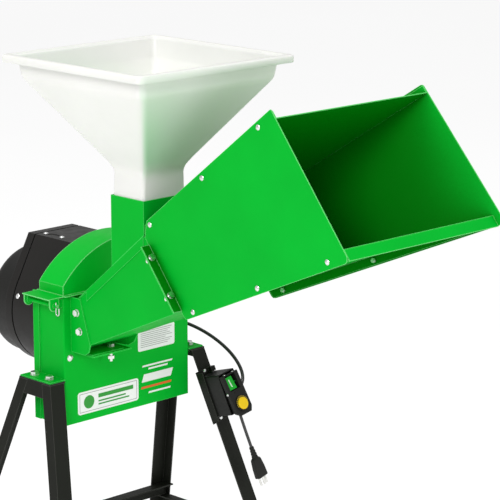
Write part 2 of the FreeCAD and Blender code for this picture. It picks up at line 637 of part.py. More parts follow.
def build_chute(throat_fasteners):
    s = DUCT_SHEET
    left = rounded_prism(chute_side_corners(), (10, 0, 0, 3, 12), DUCT_LEFT - s, DUCT_LEFT)
    right = rounded_prism(chute_side_corners(MOUTH_RAKE), (12, 0, 0, 6, 12), -300, 500)
    right = right.common(flared_slab(0, s))
    top = FLANGE_TALL - 24
    x = DUCT_RIGHT_AT_FLANGE
    left = left.fuse(flange_strip(DUCT_LEFT - FLANGE_WIDE, DUCT_LEFT, 0, s, 0, top)).removeSplitter()
    right = right.fuse(flange_strip(x, x + FLANGE_WIDE + 4, 0, s, 0, top)).removeSplitter()
    left = left.cut([axis_rod(4.3, DUCT_LEFT - 12, -9, 9, t) for t in FLANGE_BOLTS_T])
    right = right.cut([axis_rod(4.3, x + 16, -9, 9, t) for t in FLANGE_BOLTS_T])
    # roof and floor: flat plates with their long edges folded flat against the side plates
    roof_near = duct(3, FLANGE_TALL)
    roof_far = offset_in(MOUTH_TOP, -PLATE_ABOVE)
    floor_near = duct(3, 0)
    floor_far = offset_in(MOUTH_BOTTOM, LIP)
    down = (-s * AXIS_Z, s * AXIS_Y)
    up = (s * AXIS_Z, -s * AXIS_Y)
    roof = folded_plate(roof_near, roof_far, down, 16)
    floor = folded_plate(floor_near, floor_far, up, -20)
    lip_low = offset_in(MOUTH_BOTTOM, 3)
    lip = cross_plate(floor_far, lip_low, (-s * AXIS_Y, -s * AXIS_Z))
    floor = floor.fuse(lip).removeSplitter()
    tops = [between(roof_near, roof_far, q, 9) for q in CHUTE_SCREWS]
    lows = [between(floor_near, floor_far, q, -11) for q in CHUTE_SCREWS]
    left_spots = [(DUCT_LEFT, y, z) for y, z in tops + lows]
    right_spots = [(right_x(y, z) + s, y, z) for y, z in tops + lows]
    inward = (-FLARE_NORMAL[0], -FLARE_NORMAL[1], -FLARE_NORMAL[2])
    screws = []
    for (x_left, y, z), (x_right, _, _) in zip(left_spots, right_spots):
        screws.append(pan_screw(3, (x_left - s, y, z), (-1, 0, 0), 2 * s + 7))
        screws.append(nut(3, (x_left + s, y, z), (1, 0, 0)))
        screws.append(pan_screw(3, (x_right, y, z), FLARE_NORMAL, 2 * s + 7))
        inner_face = V(x_right, y, z) - V(*FLARE_NORMAL) * (2 * s)
        screws.append(slanted_nut(3, inner_face, inward))
    room_for_sleeve = box(SLEEVE_LEFT - 1, SLEEVE_RIGHT + 1, SLEEVE_FRONT - 1, SLEEVE_BACK, 150, 340)
    roof = roof.cut([right, room_for_sleeve])
    floor = floor.cut(right)
    put("chute_left_side", drill(left, 3.2, left_spots, (1, 0, 0), 12))
    put("chute_right_side", drill(right, 3.2, right_spots, FLARE_NORMAL, 12))
    roof = drill(drill(roof, 3.2, left_spots, (1, 0, 0), 12), 3.2, right_spots, FLARE_NORMAL, 12)
    floor = drill(drill(floor, 3.2, left_spots, (1, 0, 0), 12), 3.2, right_spots, FLARE_NORMAL, 12)
    put("chute_roof", roof)
    put("chute_floor", floor)
    put("chute_screws", group(screws))
    flange_bolts = list(throat_fasteners)
    for x_bolt in (DUCT_LEFT - 12, x + 16):
        for t in FLANGE_BOLTS_T:
            flange_bolts.append(flange_bolt(x_bolt, t))
    put("duct_bolts", group(flange_bolts))


def slanted_nut(r, base, axis):
    """Plain hex nut square to a slanted plate."""
    a = V(*axis).normalize()
    across = a.cross(V(0, 0, 1)).normalize()
    other = a.cross(across)
    corners = []
    for k in range(7):
        angle = math.radians(60 * k)
        corners.append(base + across * (1.9 * r * math.cos(angle)) + other * (1.9 * r * math.sin(angle)))
    body = Part.Face(Part.makePolygon(corners)).extrude(a * (1.6 * r))
    return body.cut(rod(r + 0.05, base - a, a, 3 * r))


def flange_bolt(x, t):
    """Bolt along the duct's axis: head on the mouth side, nut and thread end on the mill side."""
    s = DUCT_SHEET
    parts = [axis_rod(4, x, -15, s, t), axis_rod(8, x, s, s + 1.2, t), axis_rod(6.8, x, s + 1.2, s + 6, t)]
    parts += [axis_rod(8, x, -s - 1.2, -s, t), axis_rod(6.8, x, -s - 7.5, -s - 1.2, t)]
    return parts[0].fuse(parts[1:]).removeSplitter()


def between(near, far, q, rise):
    """Side-view point at a fraction of the way along a plate, lifted square to the duct's axis."""
    y = near[0] + q * (far[0] - near[0]) + rise * AXIS_Z
    z = near[1] + q * (far[1] - near[1]) - rise * AXIS_Y
    return y, z


def folded_plate(near, far, push, fold):
    """Plate across the duct whose long edges turn up (fold > 0) or down (fold < 0)."""
    s = DUCT_SHEET
    plate = cross_plate(near, far, push)
    lift = (fold * AXIS_Z, -fold * AXIS_Y)
    outline = [near, far, (far[0] + lift[0], far[1] + lift[1]), (near[0] + lift[0], near[1] + lift[1])]
    left = side_plate(outline, DUCT_LEFT, s)
    right = flared_plate(outline, -s, s)
    return plate.fuse([left, right]).removeSplitter()


# ---------------------------------------------------------------- grain funnel

def frustum(half_low_x, half_low_y, z_low, half_high_x, half_high_y, z_high):
    def loop(hx, hy, z):
        corners = [(-hx, -hy), (hx, -hy), (hx, hy), (-hx, hy)]
        points = [V(FUNNEL_X + a, FUNNEL_Y + b, z) for a, b in corners]
        return Part.makePolygon(points + [points[0]])
    low = loop(half_low_x, half_low_y, z_low)
    high = loop(half_high_x, half_high_y, z_high)
    return Part.makeLoft([low, high], True, True)


NECK_HALF_X = 59.5
NECK_HALF_Y = 48.4
NECK_TOP = 387
BAND_LOW = 578
BAND_HALF = 192
BAND_TOP_HALF = 198


def rounded_block(half_x, half_y, z0, z1, r):
    block = box(FUNNEL_X - half_x, FUNNEL_X + half_x, FUNNEL_Y - half_y, FUNNEL_Y + half_y, z0, z1)
    edges = [e for e in block.Edges if abs(e.tangentAt(e.FirstParameter).z) > 0.9]
    return block.makeFillet(r, edges)


def build_funnel():
    w = FUNNEL_WALL
    top = FUNNEL_RIM_TOP
    outer = rounded_block(NECK_HALF_X, NECK_HALF_Y, LEDGE_Z, NECK_TOP, 4)
    cone = frustum(NECK_HALF_X, NECK_HALF_Y, NECK_TOP, BAND_HALF, BAND_HALF, BAND_LOW)
    band = frustum(BAND_HALF, BAND_HALF, BAND_LOW, BAND_TOP_HALF, BAND_TOP_HALF, top - 4)
    rim = rounded_block(FUNNEL_RIM, FUNNEL_RIM, top - 16, top, 12)
    rim = rim.cut(rounded_block(FUNNEL_RIM - w, FUNNEL_RIM - w, top - 17, top - 4, 9))
    outer = outer.fuse([cone, band, rim])
    inner = rounded_block(NECK_HALF_X - w, NECK_HALF_Y - w, LEDGE_Z - 1, NECK_TOP + 1, 2)
    low = BAND_HALF - w
    high = BAND_TOP_HALF - w
    inner_cone = frustum(NECK_HALF_X - w, NECK_HALF_Y - w, NECK_TOP + 1, low - 1, low - 1, BAND_LOW + 1)
    inner_band = frustum(low, low, BAND_LOW + 1, high, high, top + 1)
    funnel = outer.cut([inner, inner_cone, inner_band]).removeSplitter()
    put("grain_funnel", funnel)


# ---------------------------------------------------------------- rotor

def hammer_pins():
    places = []
    for k in range(4):
        a = math.radians(45 + 90 * k)
        places.append((HAMMER_PIN_PLACE * math.cos(a), HAMMER_PIN_PLACE * math.sin(a)))
    return places


DISC_FRONT_Y = (16, 21)
DISC_REAR_Y = (64, 69)
HAMMER_Y = (24, 37, 50)
HAMMER_THICK = 8
SPACER_Y = ((21.1, 23.7), (32.3, 36.7), (45.3, 49.7), (58.3, 63.9))


def build_rotor():
    disc = ring(KNIFE_DISC_R, 30, (0, DISC_FRONT_Y[0], 0), (0, 1, 0), 5)
    pin_spots = [(x, 20, z) for x, z in hammer_pins()]
    knife_spots = []
    for side in (-1, 1):
        knife_spots += [(side * 62, 16, side * 14), (side * 104, 16, side * 14)]
    disc = drill(drill(disc, HAMMER_PIN_R + 0.05, pin_spots, (0, 1, 0)), 4.3, knife_spots, (0, 1, 0))
    put("knife_disc", disc)
    rear = ring(HAMMER_DISC_R, 30, (0, DISC_REAR_Y[0], 0), (0, 1, 0), 5)
    rear = drill(rear, HAMMER_PIN_R + 0.05, pin_spots, (0, 1, 0))
    hub = rod(30, (0, 16, 0), (0, 1, 0), 53).fuse(rod(38, (0, 21, 0), (0, 1, 0), 2)).removeSplitter()
    hub = hub.cut(rod(SHAFT_R, (0, 10, 0), (0, 1, 0), 70))
    put("rotor_hub", hub.fuse(rear).removeSplitter())
    nut_shape = rod(20, (0, 13, 0), (0, 1, 0), 3).fuse(hexagon(27, (0, 5, 0), (0, 1, 0), 8))
    nut_shape = nut_shape.cut(rod(8.05, (0, 4, 0), (0, 1, 0), 20)).removeSplitter()
    threaded_end = rod(8, (0, 4.5, 0), (0, 1, 0), 12)
    shaft = rod(SHAFT_R, (0, 16, 0), (0, 1, 0), 276).fuse(threaded_end).removeSplitter()
    put("motor_shaft", shaft)
    knives = []
    heads = []
    for side in (-1, 1):
        blade = [(40, -2), (132, 4), (132, 24), (40, 30)]
        blade_shape = slab([(side * x, 10, side * z) for x, z in blade], (0, 6, 0))
        spots = [p for p in knife_spots if p[0] * side > 0]
        knives.append(drill(blade_shape, 4.3, spots, (0, 1, 0)))
        for x, _, z in spots:
            head = rod(7, (x, 6.5, z), (0, 1, 0), 3.5).fuse(rod(4, (x, 10, z), (0, 1, 0), 11))
            heads.append(head.removeSplitter())
    put("cutting_knives", group(knives))
    put("rotor_fasteners", group(heads + [nut_shape]))
    pins = []
    for x, z in hammer_pins():
        pin = rod(HAMMER_PIN_R, (x, 13, z), (0, 1, 0), 59).fuse(rod(9, (x, 12, z), (0, 1, 0), 4))
        pin = pin.fuse(rod(9, (x, 69, z), (0, 1, 0), 2.5))
        pins.append(pin.removeSplitter())
    put("hammer_pins", group(pins))
    spacers = []
    for x, z in hammer_pins():
        for y0, y1 in SPACER_Y:
            spacers.append(ring(9, HAMMER_PIN_R + 0.02, (x, y0, z), (0, 1, 0), y1 - y0))
    put("hammer_spacers", group(spacers))
    for number, (x, z) in enumerate(hammer_pins(), 1):
        put("hammers_" + str(number), group([hammer(x, y, z) for y in HAMMER_Y]))


def hammer(x, y, z):
    """Swinging beater that hangs from its pin, with a wider striking end."""
    half = 13
    low = z - HAMMER_REACH
    shape = box(x - half, x + half, y, y + HAMMER_THICK, low, z)
    shape = shape.fuse(rod(half, (x, y, z), (0, 1, 0), HAMMER_THICK)).removeSplitter()
    for side in (-1, 1):
        notch = rod(4, (x + side * (half + 1), y - 1, low + 14), (0, 1, 0), HAMMER_THICK + 2)
        shape = shape.cut(notch)
    return shape.cut(rod(HAMMER_PIN_R + RUNNING_FIT, (x, y - 1, z), (0, 1, 0), HAMMER_THICK + 2))


# ---------------------------------------------------------------- motor

MOTOR_FRONT = DEPTH + HOUSING_SHEET
MOTOR_BOLT_PLACE = 58
MOTOR_BOLTS = [(MOTOR_BOLT_PLACE * a, DEPTH, MOTOR_BOLT_PLACE * b) for a in (-1, 1) for b in (-1, 1)]
ROOF_SCREW_X = -43
ROOF_SCREWS = [(ROOF_SCREW_X, 168, MOTOR_ROOF_Z), (ROOF_SCREW_X, 224, MOTOR_ROOF_Z)]
SIDE_SCREW_AXIS = (-0.956, 0, 0.2934)
SIDE_SCREW = (-0.956 * MOTOR_R, 222, 0.2934 * MOTOR_R)


def motor_profile(y, length, inset=0.0):
    """Round casing with a peaked roof: a circle, joined by its tangents to a narrower flat top."""
    r = MOTOR_R - inset
    half = MOTOR_ROOF_HALF - 0.5 * inset
    roof = MOTOR_ROOF_Z - inset
    far = math.hypot(half, roof)
    touch = math.atan2(roof, half) - math.acos(r / far)
    tx = r * math.cos(touch)
    tz = r * math.sin(touch)
    disc = rod(r, (0, y, 0), (0, 1, 0), length)
    top = slab([(-tx, y, tz), (-half, y, roof), (half, y, roof), (tx, y, tz), (0, y, 0)], (0, length, 0))
    return disc.fuse(top).removeSplitter()


def build_motor():
    wall = 5
    front = motor_profile(MOTOR_FRONT, MOTOR_SEAM - MOTOR_FRONT)
    front = front.cut(motor_profile(MOTOR_FRONT + 6, MOTOR_SEAM - MOTOR_FRONT, wall))
    front = front.cut(rod(26, (0, MOTOR_FRONT - 1, 0), (0, 1, 0), 10))
    front = drill(front, 4.3, MOTOR_BOLTS, (0, 1, 0), 12)
    x = ROOF_SCREW_X
    low = MOTOR_ROOF_Z - 1.2
    recess = box(x - 8, x + 8, 188, 206, low, MOTOR_ROOF_Z + 5)
    recess = recess.fuse([rod(8, (x, 188, low), (0, 0, 1), 6), rod(8, (x, 206, low), (0, 0, 1), 6)])
    lead_hole = rod(8, (100, LEAD_START[1], LEAD_START[2]), (1, 0, 0), 60)
    front = front.cut([recess, lead_hole])
    front = drill(front, 3.1, ROOF_SCREWS, (0, 0, 1), 12)
    front = drill(front, 3.1, [SIDE_SCREW], SIDE_SCREW_AXIS, 12)
    put("motor_front_casing", front)
    band = motor_profile(MOTOR_SEAM + SEAM_GAP, MOTOR_BACK - MOTOR_SEAM - SEAM_GAP)
    band = band.fuse(motor_profile(MOTOR_SEAM, SEAM_GAP, 4)).removeSplitter()
    band = band.cut(motor_profile(MOTOR_SEAM - 1, MOTOR_BACK - MOTOR_SEAM + 2 - 6, 9))
    band = band.cut(rod(90, (0, MOTOR_SEAM, 0), (0, 1, 0), 60))
    carrier = ring(90, 30, (0, 238, 0), (0, 1, 0), 8)
    put("motor_rear_casing", band.fuse(carrier).removeSplitter())
    cover = rod(126, (0, MOTOR_BACK, 0), (0, 1, 0), FAN_COVER_END - MOTOR_BACK)
    end_edges = [e for e in cover.Edges if e.CenterOfMass.y > FAN_COVER_END - 1]
    cover = cover.makeFillet(34, end_edges)
    hollow = rod(122, (0, MOTOR_BACK - 1, 0), (0, 1, 0), FAN_COVER_END - MOTOR_BACK - 3)
    inner_edges = [e for e in hollow.Edges if e.CenterOfMass.y > FAN_COVER_END - 8]
    hollow = hollow.makeFillet(31, inner_edges)
    cover = cover.cut(hollow)
    slots = []
    for ring_r in (38, 56, 74):
        for k in range(18):
            a = 20 * k
            slot = box(ring_r - 6, ring_r + 6, FAN_COVER_END - 10, FAN_COVER_END + 5, -2.4, 2.4)
            slot.rotate(V(0, 0, 0), V(0, 1, 0), a)
            slots.append(slot)
    put("fan_cover", cover.cut(slots))
    put("motor_stator", ring(MOTOR_R - wall, 62, (0, 124, 0), (0, 1, 0), 78))
    put("motor_windings", group([ring(104, 68, (0, y, 0), (0, 1, 0), 20) for y in (104, 202)]))
    put("motor_rotor_core", ring(61, SHAFT_R, (0, 122, 0), (0, 1, 0), 82))
    front_bearing = ring(24, SHAFT_R + RUNNING_FIT, (0, MOTOR_FRONT - 2.5, 0), (0, 1, 0), 14)
    rear_bearing = ring(30, SHAFT_R + RUNNING_FIT, (0, 235, 0), (0, 1, 0), 14)
    put("motor_bearings", group([front_bearing, rear_bearing]))
    put("cooling_fan", cooling_fan())
    fasteners = [pan_screw(3, (x, y, MOTOR_ROOF_Z), (0, 0, 1), 12) for x, y, z in ROOF_SCREWS]
    fasteners.append(pan_screw(3, SIDE_SCREW, SIDE_SCREW_AXIS, 10))
    fasteners += [bolt(4, (x, DEPTH, z), (0, -1, 0), 9, 9) for x, y, z in MOTOR_BOLTS]
    put("motor_bolts", group(fasteners))
    put("motor_capacitor", rod(16, (0, 112, 147.8), (0, 1, 0), 88))


def cooling_fan():
    hub = ring(26, SHAFT_R, (0, 268, 0), (0, 1, 0), 22)
    plate = ring(96, 20, (0, 268, 0), (0, 1, 0), 3)
    blades = []
    for k in range(7):
        blade = box(22, 100, 270, 290, -1.5, 1.5)
        blade.rotate(V(0, 0, 0), V(0, 1, 0), 360 * k / 7)
        blades.append(blade)
    fan = hub.fuse([plate] + blades).removeSplitter()
    return fan.cut(rod(SHAFT_R, (0, 260, 0), (0, 1, 0), 40))


# ---------------------------------------------------------------- switch on the right front leg

LEG_DOWN = V(SPLAY_X, -SPLAY_Y, -1).normalize()
LEG_IN = V(1, 0, 0).cross(LEG_DOWN).normalize()
LEG_ACROSS = LEG_IN.cross(LEG_DOWN * -1).normalize()
SWITCH_DROP = 107
LEG_FACE_TOP = V(RAIL_X - LEG_FRONT_FACE / 2, RAIL_FRONT, RAIL_TOP - STAND_SHEET)
SWITCH_CENTRE = LEG_FACE_TOP + LEG_DOWN * SWITCH_DROP
CASE_LEFT = -27
CASE_RIGHT = 24
CASE_LOW = -51
CASE_TOP = 46
CASE_DEEP = 66
CASE_WALL = 2.5
FRONT_LEAN = 6.8
FRONT_TOP = V(0, -76, 41)
FRONT_THICK = 8
FRONT_TALL = 99
BODY_BACK = 19.5
ROCKER_X = (-17.2, 6)
ROCKER_Z = -22
ROCKER_PIVOT = 10
BUTTON_X = -1
BUTTON_Z = -74
BUTTON_R = 14
COLLAR_R = 17.5
LEAD_AT = (-34, -6)
CORD_EXIT = (-6, 15, -88)
CORD_R = 3.5
CORD_R_LEAD = 4
LEAD_GLAND = 16
RELIEF_LONG = 28
PLUG_HALF_THICK = 8
PLUG_END = 74
PLUG_PIN_R = 2.4
PLUG_PIN_LONG = 19
PIN_STEP = 9.5


def on_leg(shape):
    """Place a piece drawn at the switch (X across, -Y out of the leg, Z up the leg)."""
    up = LEG_DOWN * -1
    m = FreeCAD.Matrix(LEG_ACROSS.x, LEG_IN.x, up.x, SWITCH_CENTRE.x,
                       LEG_ACROSS.y, LEG_IN.y, up.y, SWITCH_CENTRE.y,
                       LEG_ACROSS.z, LEG_IN.z, up.z, SWITCH_CENTRE.z, 0, 0, 0, 1)
    shape = shape.copy()
    shape.Placement = FreeCAD.Placement(m).multiply(shape.Placement)
    return shape


def leg_point(x, y, z):
    return SWITCH_CENTRE + LEG_ACROSS * x + LEG_IN * y - LEG_DOWN * z


def on_front(shape):
    """Place a piece drawn at the switch's leaning front (-Y out of its face, Z up, Z = 0 at its top)."""
    shape = shape.copy()
    shape.rotate(V(0, 0, 0), V(1, 0, 0), -FRONT_LEAN)
    shape.translate(FRONT_TOP)
    return on_leg(shape)


def front_point(x, y, z):
    lean = math.radians(FRONT_LEAN)
    local_y = FRONT_TOP.y + y * math.cos(lean) + z * math.sin(lean)
    local_z = FRONT_TOP.z - y * math.sin(lean) + z * math.cos(lean)
    return leg_point(x, local_y, local_z)


def build_switch():
    # bracket on the leg's face, with a turned-back side, an upright ear and two rivets
    plate = box(-31, 18, -2, 0, CASE_LOW - 15, CASE_TOP + 14)
    side = box(-31, -29, -22, -2, CASE_LOW - 8, CASE_TOP + 11)
    ear_plate = box(8, 21, -12, -2, CASE_TOP + 2, CASE_TOP + 13)
    rivets = [(-3, -2, CASE_TOP + 8), (-3, -2, CASE_LOW - 8)]
    bracket = plate.fuse([side, ear_plate]).removeSplitter()
    put("switch_bracket", on_leg(drill(bracket, 2.6, rivets, (0, 1, 0), 3)))
    put("switch_case", switch_case())
    put("switch_front", switch_front())
    put("switch_rocker", switch_rocker())
    put("button_collar", button_collar())
    cap = rod(BUTTON_R, (BUTTON_X, -6, BUTTON_Z), (0, 1, 0), 11)
    crown = [e for e in cap.Edges if e.CenterOfMass.y < -5.9]
    put("push_button", on_front(cap.makeFillet(2, crown)))
    screws = [on_leg(pan_screw(2.5, p, (0, -1, 0), 2)) for p in rivets]
    screws.append(on_front(pan_screw(1.6, (CASE_LEFT, 5, -43), (-1, 0, 0), 2)))
    for x in (-14, 12):
        screws.append(on_front(pan_screw(1.6, (x, 4, 0), (0, 0, 1), 1.8)))
    put("switch_screws", group(screws))
    gland = ring(8, CORD_R_LEAD + 0.02, (CASE_RIGHT, LEAD_AT[0], LEAD_AT[1]), (1, 0, 0), 7)
    put("lead_glands", group([on_leg(gland), lead_gland()]))


def switch_case():
    """Deep box, open at the front."""
    w = CASE_WALL
    case = box(CASE_LEFT, CASE_RIGHT, -CASE_DEEP, -2, CASE_LOW, CASE_TOP)
    edges = [e for e in case.Edges if abs(e.tangentAt(e.FirstParameter).y) > 0.9]
    case = case.makeFillet(3, edges)
    hollow = box(CASE_LEFT + w, CASE_RIGHT - w, -CASE_DEEP - 1, -2 - w, CASE_LOW + w, CASE_TOP - w)
    lead_hole = rod(CORD_R_LEAD + 0.5, (CASE_RIGHT - 5, LEAD_AT[0], LEAD_AT[1]), (1, 0, 0), 10)
    return on_leg(case.cut([hollow, lead_hole]))


def switch_front():
    """Leaning front plate with the switch's body behind it, a pocket for the rocker and a button bore."""
    half = FRONT_THICK / 2
    outline = [(CASE_LEFT, 0), (CASE_RIGHT, 0), (CASE_RIGHT, -87), (17, -FRONT_TALL), (-14, -FRONT_TALL)]
    outline.append((CASE_LEFT, -90.5))
    front = slab([(x, 0, z) for x, z in outline], (0, FRONT_THICK, 0))
    body = box(-21, 18, half, BODY_BACK, CORD_EXIT[2], -4)
    front = front.fuse(body).removeSplitter()
    front = front.cut(box(-18, 13, -1, 16, -39.4, -3))
    front = front.cut(rod(15.6, (BUTTON_X, -1, BUTTON_Z), (0, 1, 0), 9))
    front = front.cut(rod(BUTTON_R + 0.3, (BUTTON_X, 7, BUTTON_Z), (0, 1, 0), 7))
    front = front.cut(rod(1.56, (-19.5, ROCKER_PIVOT, ROCKER_Z), (1, 0, 0), 36))
    front = front.cut([rod(1.7, (CASE_LEFT - 1, 5, -43), (1, 0, 0), 3.2)])
    front = drill(front, 1.7, [(-14, 4, 0), (12, 4, 0)], (0, 0, 1), 2)
    bar = box(-9, 8, -1.2, 0, -47, -44)
    return on_front(front.fuse(bar).removeSplitter())


def switch_rocker():
    """Rocker on two trunnions; its face is two shallow slopes, and the upper half is pressed in."""
    x0, x1 = ROCKER_X
    side = [(6.5, 15), (5.2, 0), (2.5, -15), (11, -12), (11, 12)]
    shape = slab([(x0, y, ROCKER_Z + z) for y, z in side], (x1 - x0, 0, 0))
    trunnions = rod(1.5, (-19, ROCKER_PIVOT, ROCKER_Z), (1, 0, 0), 35)
    return on_front(shape.fuse(trunnions).removeSplitter())


def button_collar():
    collar = ring(COLLAR_R, BUTTON_R + 0.35, (BUTTON_X, -2.5, BUTTON_Z), (0, 1, 0), 2.5)
    collar = collar.fuse(ring(15.55, BUTTON_R + 0.35, (BUTTON_X, -1, BUTTON_Z), (0, 1, 0), 9))
    teeth = []
    for k in range(28):
        tooth = box(COLLAR_R - 1, COLLAR_R + 1, -2.5, 0, -1, 1)
        tooth.rotate(V(0, 0, 0), V(0, 1, 0), 360 * k / 28)
        tooth.translate(V(BUTTON_X, 0, BUTTON_Z))
        teeth.append(tooth)
    return on_front(collar.fuse(teeth).removeSplitter())


# ---------------------------------------------------------------- cords

def cord_tube(points, r, name):
    """Round tube along straight runs that tangent arcs join; prints its radii and its length."""
    edges = []
    radii = []
    here = points[0]
    for k in range(1, len(points) - 1):
        before = points[k] - points[k - 1]
        after = points[k + 1] - points[k]
        turn = before.getAngle(after)
        reach = 0.45 * min(before.Length, after.Length)
        radii.append(reach / math.tan(turn / 2))
        a = points[k] - before * (reach / before.Length)
        b = points[k] + after * (reach / after.Length)
        inward = (a + b) * 0.5 - points[k]
        drop = radii[-1] / math.cos(turn / 2) - radii[-1]
        mid = points[k] + inward * (drop / inward.Length)
        if (a - here).Length > 1e-6:
            edges.append(Part.makeLine(here, a))
        edges.append(Part.Arc(a, mid, b).toShape())
        here = b
    edges.append(Part.makeLine(here, points[-1]))
    path = Part.Wire(edges)
    section = Part.Wire([Part.makeCircle(r, points[0], points[1] - points[0])])
    tube = path.makePipeShell([section], True, False)
    print(name, "length", round(path.Length, 1), "radii", [round(v) for v in radii],
          "volume ratio", round(tube.Volume / (math.pi * r * r * path.Length), 4))
    return tube


def build_cords():
    start = front_point(*CORD_EXIT)
    power = [start, start + V(4.2, -8.6, -28), start + V(10, -16, -56.5), start + V(17, -22.3, -84.1)]
    put("power_cord", cord_tube(power, CORD_R, "power_cord"))
    tip = (power[-1] - power[-2]).normalize()
    build_plug(power[-1], tip)
    switch_end = leg_point(CASE_RIGHT + 7, *LEAD_AT)
    lead = [V(LEAD_START[0] + LEAD_GLAND, LEAD_START[1], LEAD_START[2]), V(164, 150, -50), V(195, 141, -51)]
    lead += [V(229, 122, -56), V(261, 94, -68), V(286, 60, -86), V(303, 23, -109), V(312, -12, -135)]
    lead += [V(311, -41, -162), V(300, -59, -183), V(281, -67, -195), switch_end]
    put("motor_lead", cord_tube(lead, CORD_R_LEAD, "motor_lead"))


def lead_gland():
    x, y, z = LEAD_START
    body = rod(7.95, (x, y, z), (1, 0, 0), 7)
    collar = rod(11, (x + 6, y, z), (1, 0, 0), LEAD_GLAND - 6)
    return body.fuse(collar).removeSplitter().cut(rod(CORD_R_LEAD + 0.02, (x - 2, y, z), (1, 0, 0), 30))


def build_plug(start, tip):
    """Strain relief, plug body and three round pins in line with the cord's end."""
    side = LEG_ACROSS
    side = (side - tip * side.dot(tip)).normalize()
    depth = tip.cross(side).normalize()

    def at(s, a, b):
        return start + tip * s + side * a + depth * b

    def block(s0, s1, half0, half1, thick0, thick1):
        corners = [(-1, -1), (1, -1), (1, 1), (-1, 1), (-1, -1)]
        low = Part.makePolygon([at(s0, a * half0, b * thick0) for a, b in corners])
        high = Part.makePolygon([at(s1, a * half1, b * thick1) for a, b in corners])
        return Part.makeLoft([low, high], True, True)

    relief = Part.makeCone(5.2, 7.5, RELIEF_LONG, at(0, 0, 0), tip)
    neck = block(RELIEF_LONG, 36, 11.5, 12.5, PLUG_HALF_THICK, PLUG_HALF_THICK)
    shoulder = block(36, 50, 12.5, 14.5, PLUG_HALF_THICK, PLUG_HALF_THICK)
    head = block(50, PLUG_END, 14.5, 15.5, PLUG_HALF_THICK, PLUG_HALF_THICK)
    put("plug_body", neck.fuse([shoulder, head, relief]).removeSplitter())
    pins = []
    for offset, shift in ((-PIN_STEP, 0), (0, 2.5), (PIN_STEP, 0)):
        pins.append(Part.makeCylinder(PLUG_PIN_R, PLUG_PIN_LONG, at(PLUG_END, offset, shift), tip))
    put("plug_pins", group(pins))


def report():
    everything = Part.makeCompound([s for n, s in made.items() if n not in CORD_NODES])
    b = everything.BoundBox
    print("box", [round(v, 1) for v in (b.XMin, b.YMin, b.ZMin, b.XMax, b.YMax, b.ZMax)])
    print("nodes", len(made))
    for name, shape in made.items():
        if not shape.isValid() or shape.Volume <= 0:
            print("check", name, shape.isValid(), shape.Volume)


CORD_NODES = ("power_cord", "motor_lead", "plug_body", "plug_pins")

os.makedirs("parts", exist_ok=True)
build_housing(build_stand())
build_hood()
build_chute(build_throat())
build_funnel()
build_rotor()
build_motor()
build_switch()
build_cords()
report()
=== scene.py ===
import json
import math

import bmesh
import bpy
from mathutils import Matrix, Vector


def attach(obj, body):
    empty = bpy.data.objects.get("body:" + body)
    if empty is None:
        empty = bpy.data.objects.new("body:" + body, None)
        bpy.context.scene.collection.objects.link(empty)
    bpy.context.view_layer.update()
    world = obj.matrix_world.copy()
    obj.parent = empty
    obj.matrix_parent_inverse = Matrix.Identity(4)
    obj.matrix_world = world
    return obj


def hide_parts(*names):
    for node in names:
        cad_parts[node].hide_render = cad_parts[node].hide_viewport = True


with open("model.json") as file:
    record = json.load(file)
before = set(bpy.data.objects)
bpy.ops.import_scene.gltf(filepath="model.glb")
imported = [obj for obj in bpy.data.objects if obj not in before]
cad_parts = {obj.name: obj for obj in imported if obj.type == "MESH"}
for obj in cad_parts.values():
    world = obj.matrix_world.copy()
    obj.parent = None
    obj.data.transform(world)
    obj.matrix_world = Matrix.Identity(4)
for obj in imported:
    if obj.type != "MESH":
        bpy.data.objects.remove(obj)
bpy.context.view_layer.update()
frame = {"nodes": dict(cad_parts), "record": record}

# Metres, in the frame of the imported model.  The rotor axis meets the front panel at MILL.
MILL = Vector((0.0, 0.239, 0.600))


def at(x, y, z):
    """Point in the model frame from millimetres about the rotor axis at the front panel."""
    return MILL + Vector((x, y, z)) / 1000


# ---------------------------------------------------------------- materials

